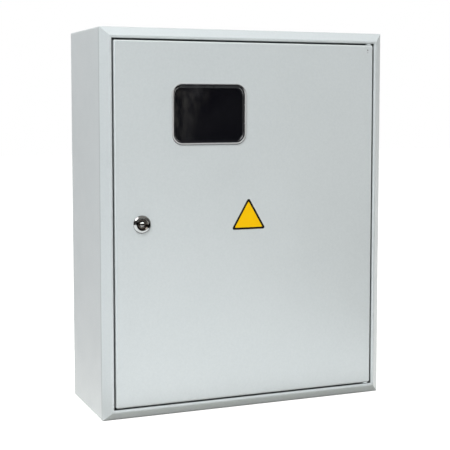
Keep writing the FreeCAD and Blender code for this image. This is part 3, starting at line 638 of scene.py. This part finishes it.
edgeFinishes = {  # finish, width of the broken edge, steps across it
    "window_frame": ("frame", 0.00028, 3),
    "hinge_spacer_top": ("powderCoat", 0.00110, 5),
    "hinge_spacer_bottom": ("powderCoat", 0.00110, 5),
    "hinge_pin_top": ("zinc", 0.00025, 2),
    "hinge_pin_bottom": ("zinc", 0.00025, 2),
    "hinge_clip_top": ("springSteel", 0.0001, 2),
    "hinge_clip_bottom": ("springSteel", 0.0001, 2),
    "lock_plug": ("lockMetal", 0.00012, 2),
    "lock_washer": ("zinc", 0.0001, 2),
    "lock_nut": ("zinc", 0.0003, 2),
    "lock_cam": ("zinc", 0.0003, 2),
    "cam_washer": ("zinc", 0.00015, 2),
    "cam_screw": ("zinc", 0.0003, 2),
    "plate_nuts": ("zinc", 0.0003, 2),
    "plate_pillars": ("thread", 0.0003, 2),
    "rail_screws": ("zinc", 0.0003, 2),
    "neutral_bar": ("brass", 0.0003, 2),
    "neutral_bar_feet": ("blue", 0.0004, 2),
    "neutral_bar_screws": ("zinc", 0.00025, 2),
    "case_earth_stud": ("wallThread", 0.0003, 2),
    "case_earth_washer": ("zinc", 0.00015, 2),
    "case_earth_nut": ("zinc", 0.0003, 2),
    "door_earth_stud": ("thread", 0.0003, 2),
    "door_earth_washer": ("zinc", 0.00015, 2),
    "door_earth_nut": ("zinc", 0.0003, 2),
}

edgeWork = {
    "weld": 0.000002,
    "flatAngle": 0.6,  # degrees, as the next two
    "sharpAngle": 32,
    "smoothAngle": 30,
}


def finishEdges(node, finish, width, steps):
    source = frame["nodes"][node]
    piece = bpy.data.objects.new(node + "_finished", source.data.copy())
    scene.collection.objects.link(piece)
    makeActive(piece)
    bpy.ops.object.mode_set(mode="EDIT")
    bpy.ops.mesh.select_all(action="SELECT")
    bpy.ops.mesh.remove_doubles(threshold=edgeWork["weld"])
    bpy.ops.mesh.dissolve_limited(angle_limit=math.radians(edgeWork["flatAngle"]))
    bpy.ops.object.mode_set(mode="OBJECT")
    bevel = piece.modifiers.new("brokenEdges", "BEVEL")
    bevel.width = width
    bevel.segments = steps
    bevel.limit_method = "ANGLE"
    bevel.angle_limit = math.radians(edgeWork["sharpAngle"])
    bevel.use_clamp_overlap = True
    applyModifiers(piece)
    bpy.ops.object.shade_smooth_by_angle(angle=math.radians(edgeWork["smoothAngle"]))
    paint(piece, finish)
    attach(piece, source["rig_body"])
    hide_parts(node)


for node, (finish, width, steps) in edgeFinishes.items():
    finishEdges(node, finish, width, steps)
print("pieces with finished edges:", len(edgeFinishes))


# Lock housing, turned: a domed chrome flange, a dished mouth and a threaded barrel

lockHousing = {  # pairs are radius and depth behind the door's face
    "bore": ((0.0061, 0.0013), (0.00516, 0.0013), (0.00516, -0.0003), (0.00526, -0.00055)),
    "mouth": ((0.0057, -0.0007), (0.0074, -0.0029), (0.0076, -0.00303)),
    "crest": (0.0079, -0.00309),
    "domeAngles": (8, 52),  # how the flange's dome is sloped at its crest and at its rim
    "domeSteps": 8,
    "flangeRadius": 0.0115,
    "barrelRadius": 0.00925,
    "barrelEdge": 0.0005,
    "threadStart": 0.0060,
    "threadPitch": 0.0012,
    "threadDepth": 0.0004,
    "turns": 128,
    "smoothAngle": 28,
}


def addRing(radius, depth, lastRadius, lastDepth):  # one more ring, drawn out from the last
    centre = (lockMiddle.x, lockMiddle.y + depth, lockMiddle.z)
    grow = radius / lastRadius
    bpy.ops.mesh.extrude_region_move(TRANSFORM_OT_translate={"value": (0, depth - lastDepth, 0)})
    bpy.ops.transform.resize(value=(grow, 1, grow), center_override=centre)


def turnPiece(name, outline, steps):  # outline holds radius and depth pairs, and closes on itself
    radius, depth = outline[0]
    deselectAll()
    bpy.ops.mesh.primitive_circle_add(
        vertices=steps,
        radius=radius,
        location=(lockMiddle.x, lockMiddle.y + depth, lockMiddle.z),
        rotation=(math.pi / 2, 0, 0),
    )
    piece = bpy.context.object
    piece.name = name
    applyPlace(piece)
    bpy.ops.object.mode_set(mode="EDIT")
    bpy.ops.mesh.select_all(action="SELECT")
    for nextRadius, nextDepth in outline[1:] + outline[:1]:
        addRing(nextRadius, nextDepth, radius, depth)
        radius, depth = nextRadius, nextDepth
    bpy.ops.mesh.select_all(action="SELECT")
    bpy.ops.mesh.remove_doubles(threshold=edgeWork["weld"])
    bpy.ops.mesh.normals_make_consistent(inside=False)
    bpy.ops.object.mode_set(mode="OBJECT")
    return piece


def drawDome(values):  # the flange's dome, from its crest down to its rim
    crestRadius, crestDepth = values["crest"]
    first, last = (math.radians(angle) for angle in values["domeAngles"])
    dome = (values["flangeRadius"] - crestRadius) / (math.sin(last) - math.sin(first))
    rings = []
    for step in range(values["domeSteps"] + 1):
        angle = first + (last - first) * step / values["domeSteps"]
        radius = crestRadius + dome * (math.sin(angle) - math.sin(first))
        rings.append((radius, crestDepth + dome * (math.cos(first) - math.cos(angle))))
    return rings


def drawThread(values, rear):  # the barrel's thread, from its start to its rear edge
    radius, depth, pitch = values["barrelRadius"], values["threadStart"], values["threadPitch"]
    rings = [(radius, depth)]
    while depth < rear - pitch:
        rings.append((radius - values["threadDepth"], depth + pitch / 2))
        rings.append((radius, depth + pitch))
        depth += pitch
    return rings + [(radius - values["barrelEdge"], rear)]


def makeLockHousing():
    values = lockHousing
    rear = lockHigh.y - doorLow.y
    outline = [(values["bore"][0][0], rear), *values["bore"], *values["mouth"]]
    outline += drawDome(values)
    outline += [(values["flangeRadius"], 0.0), (values["barrelRadius"], 0.0)]
    outline += drawThread(values, rear)
    piece = turnPiece("lockHousing", outline, values["turns"])
    makeActive(piece)
    bpy.ops.object.shade_smooth_by_angle(angle=math.radians(values["smoothAngle"]))
    paint(piece, "chrome")
    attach(piece, "door")
    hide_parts("lock_housing")


makeLockHousing()
print("lock housing turned")


# Camera: long lens, a little above the middle of the box, seen from its left

camera = {
    "place": (-0.5632, -1.4579, 0.1525),
    "turn": -22.01,
    "tilt": -4.48,
    "sensor": 36.0,
    "lens": 86.82,
    "rise": -0.0778,
}


def makeCamera():
    data = bpy.data.cameras.new("camera")
    data.sensor_width = camera["sensor"]
    data.lens = camera["lens"]
    data.shift_y = camera["rise"]
    eye = bpy.data.objects.new("camera", data)
    eye.location = camera["place"]
    eye.rotation_euler = (math.radians(90 + camera["tilt"]), 0, math.radians(camera["turn"]))
    scene.collection.objects.link(eye)
    scene.camera = eye


makeCamera()


# Studio: pale floor, pale surroundings and soft lamps

studio = {
    "surroundings": (0.98, 0.995, 1.0, 1),
    "ambient": 0.35,
    "reflectedFront": 0.06,  # what gloss and metal see around them
    "reflectedBack": 0.9,
    "frontToBack": (0.72, 0.88),
    "reflectedCeiling": 0.55,
    "ceilingFrom": (0.25, 0.55),
    "reflectedRight": 0.25,
    "rightFrom": (0.6, 0.8),
}

paleFloor = {
    "size": 14,
    "tint": (0.735, 0.718, 0.682, 1),
    "mottle": 1.2,
    "paler": 1.02,
    "leftTint": (0.30, 0.30, 0.30, 1),  # less light comes up along the left wall
    "leftRamp": ((0.18, 0.0), (0.40, 1.0)),
    "lift": 0.88,
    "roughness": 0.9,
    "specular": 0.1,
}

lamps = {
    "overhead": {
        "place": (-0.30, -1.10, 1.68),
        "size": 1.3,
        "power": 11.3,
        "tint": (1, 1, 1),
        "mirrored": False,
    },
    "leftKey": {
        "place": (-1.16, -1.03, 1.40),
        "size": 1.2,
        "power": 25.0,
        "tint": (0.96, 0.985, 1.0),
        "mirrored": True,
    },
    "rightSide": {
        "place": (2.05, -0.48, 0.75),
        "size": 0.9,
        "power": 13.5,
        "tint": (1, 1, 1),
        "mirrored": False,
    },
}
lampsAim = (0, -0.1, 0)

glosses = {  # seen by gloss and metal only
    "floorGlow": {
        "place": (-0.71, -1.15, -0.245),
        "turn": (180, 0, 0),
        "size": (2.1, 1.9),
        "power": 29.3,
        "tint": (0.90, 0.96, 1.0),
    },
    "farStrip": {
        "place": (0.775, -2.5, 0.2),
        "turn": (90, 0, 0),
        "size": (0.03, 0.5),
        "power": 0.03,
        "tint": (1, 1, 1),
    },
    "nearStrip": {
        "place": (0.81, -2.5, 0.28),
        "turn": (90, 0, 0),
        "size": (0.03, 0.2),
        "power": 0.024,
        "tint": (1, 1, 1),
    },
}


def addLightPath(tree, *rays):  # 1 where any of the named rays looks
    lightPath = tree.nodes.new("ShaderNodeLightPath")
    seen = lightPath.outputs[rays[0]]
    for ray in rays[1:]:
        seen = addMath(tree, "MAXIMUM", seen, lightPath.outputs[ray])
    return seen


def addRise(tree, part, span, level):  # nothing at the span's start, the level at its end
    return addRamp(tree, part, (span[0], 0), (span[1], level))


def addChoice(tree, factor, first, second=None):  # black where there is no second shader
    choice = tree.nodes.new("ShaderNodeMixShader")
    tree.links.new(factor, choice.inputs[0])
    tree.links.new(first, choice.inputs[1])
    if second is not None:
        tree.links.new(second, choice.inputs[2])
    return choice.outputs[0]


def makeSurroundings():
    world = bpy.data.worlds.new("studio")
    scene.world = world
    world.use_nodes = True
    tree = world.node_tree
    lit = tree.nodes["Background"]
    lit.inputs["Color"].default_value = studio["surroundings"]
    lit.inputs["Strength"].default_value = studio["ambient"]
    shown = tree.nodes.new("ShaderNodeBackground")
    shown.inputs["Color"].default_value = (1, 1, 1, 1)
    mirrored = tree.nodes.new("ShaderNodeBackground")
    parts = addParts(tree, tree.nodes.new("ShaderNodeTexCoord").outputs["Generated"])
    backwards = addMath(tree, "MULTIPLY_ADD", parts["Y"], 0.5, 0.5)
    front, back = studio["frontToBack"]
    level = addRamp(tree, backwards, (front, studio["reflectedFront"]), (back, studio["reflectedBack"]))
    right = addRise(tree, parts["X"], studio["rightFrom"], studio["reflectedRight"])
    above = addRise(tree, parts["Z"], studio["ceilingFrom"], studio["reflectedCeiling"])
    level = addMath(tree, "MAXIMUM", addMath(tree, "MAXIMUM", level, right), above)
    tree.links.new(level, mirrored.inputs["Color"])
    isGloss = addLightPath(tree, "Is Glossy Ray")
    isEye = addLightPath(tree, "Is Camera Ray", "Is Transmission Ray")
    around = addChoice(tree, isGloss, lit.outputs[0], mirrored.outputs[0])
    around = addChoice(tree, isEye, around, shown.outputs[0])
    tree.links.new(around, tree.nodes["World Output"].inputs["Surface"])


def makeFloor():
    values = paleFloor
    deselectAll()
    bpy.ops.mesh.primitive_plane_add(size=values["size"], location=(0, 0, cadBounds[0].z))
    floor = bpy.context.object
    floor.name = "floor"
    applyPlace(floor)
    material, tree, shader = newMaterial("paleFloor")
    place = objectPlace(tree)
    parts = addParts(tree, place)
    tone = addNoise(tree, place, values["mottle"], 2)
    paler = tuple(values["paler"] * value for value in values["tint"][:3]) + (1,)
    colour = addRamp(tree, tone, (0.3, values["tint"]), (0.7, paler))
    leftwards = addRamp(tree, addMath(tree, "MULTIPLY", parts["X"], -1.0), *values["leftRamp"])
    colour = addMix(tree, leftwards, colour, values["leftTint"])
    tree.links.new(colour, shader.inputs["Base Color"])
    shader.inputs["Roughness"].default_value = values["roughness"]
    shader.inputs["Specular IOR Level"].default_value = values["specular"]
    beside = addMath(tree, "GREATER_THAN", addMath(tree, "ABSOLUTE", parts["X"]), cadBounds[1].x)
    beside = addMath(tree, "MULTIPLY", beside, addMath(tree, "GREATER_THAN", parts["Y"], cadBounds[0].y))
    behind = addMath(tree, "GREATER_THAN", parts["Y"], cadBounds[1].y)
    around = addMath(tree, "MAXIMUM", beside, behind)  # the floor ahead of the box isn't mirrored bright
    isGloss = addLightPath(tree, "Is Glossy Ray")
    isEye = addLightPath(tree, "Is Camera Ray", "Is Transmission Ray")
    mirrored = addMath(tree, "MULTIPLY", isGloss, around)
    lift = tree.nodes.new("ShaderNodeEmission")
    seen = addMath(tree, "MAXIMUM", isEye, mirrored)
    tree.links.new(addMath(tree, "MULTIPLY", seen, values["lift"]), lift.inputs["Strength"])
    both = tree.nodes.new("ShaderNodeAddShader")
    tree.links.new(shader.outputs[0], both.inputs[0])
    tree.links.new(lift.outputs[0], both.inputs[1])
    surface = addChoice(tree, addMath(tree, "SUBTRACT", isGloss, mirrored), both.outputs[0])
    tree.links.new(surface, tree.nodes["Material Output"].inputs["Surface"])
    floor.data.materials.append(material)


def addLamp(name, shape, values):
    data = bpy.data.lights.new(name, "AREA")
    data.shape = shape
    data.energy = values["power"]
    data.color = values["tint"]
    lamp = bpy.data.objects.new(name, data)
    lamp.location = values["place"]
    scene.collection.objects.link(lamp)
    return lamp, data


def makeLamps():
    for name, values in lamps.items():
        lamp, data = addLamp(name, "DISK", values)
        data.size = values["size"]
        away = Vector(values["place"]) - Vector(lampsAim)
        lamp.rotation_euler = away.to_track_quat("Z", "Y").to_euler()
        lamp.visible_glossy = values["mirrored"]


def makeGlosses():
    for name, values in glosses.items():
        lamp, data = addLamp(name, "RECTANGLE", values)
        data.size, data.size_y = values["size"]
        lamp.rotation_euler = [math.radians(angle) for angle in values["turn"]]
        lamp.visible_camera = False
        lamp.visible_diffuse = False
        lamp.visible_transmission = False


makeSurroundings()
makeFloor()
makeLamps()
makeGlosses()
scene.view_settings.view_transform = "Standard"
print("camera and studio ready")


# The CAD's own size

print("cad box:", [[round(v, 4) for v in c] for c in cadBounds])
